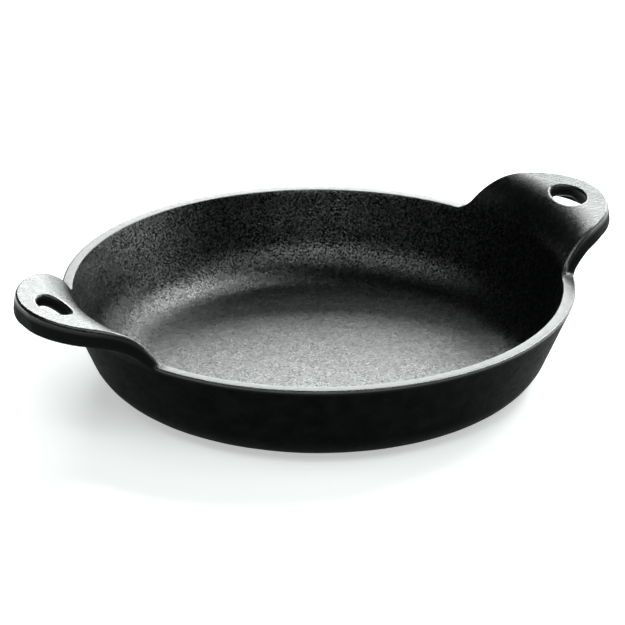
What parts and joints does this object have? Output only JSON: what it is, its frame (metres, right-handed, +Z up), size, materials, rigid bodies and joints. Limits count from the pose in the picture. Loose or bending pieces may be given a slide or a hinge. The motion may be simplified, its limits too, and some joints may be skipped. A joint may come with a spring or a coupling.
{
  "type": "two-handled cast iron skillet",
  "caption": "Small round cast iron skillet with leaning sides, a ground flat rim and raised loop handles with oval hanging holes.",
  "frame": {"origin": "centre of the flat base, on the surface the pan stands on", "axes": "+Z up out of the pan, +X along the line through both handles, front rim arc towards -Y"},
  "size_m": [0.2082, 0.165, 0.0437],
  "materials": {
    "seasoned_iron": "sand-cast grain under black baked-on seasoning",
    "ground_rim": "ground flat, satin grey",
    "handle_iron": "fine cast skin under black seasoning, satin"
  },
  "bodies": {
    "root": {"pan_floor": "seasoned_iron", "base_corner": "seasoned_iron", "side_wall": "seasoned_iron", "rim_front": "ground_rim", "rim_back": "ground_rim", "left_handle": "handle_iron", "right_handle": "handle_iron"}
  },
  "joints": []
}
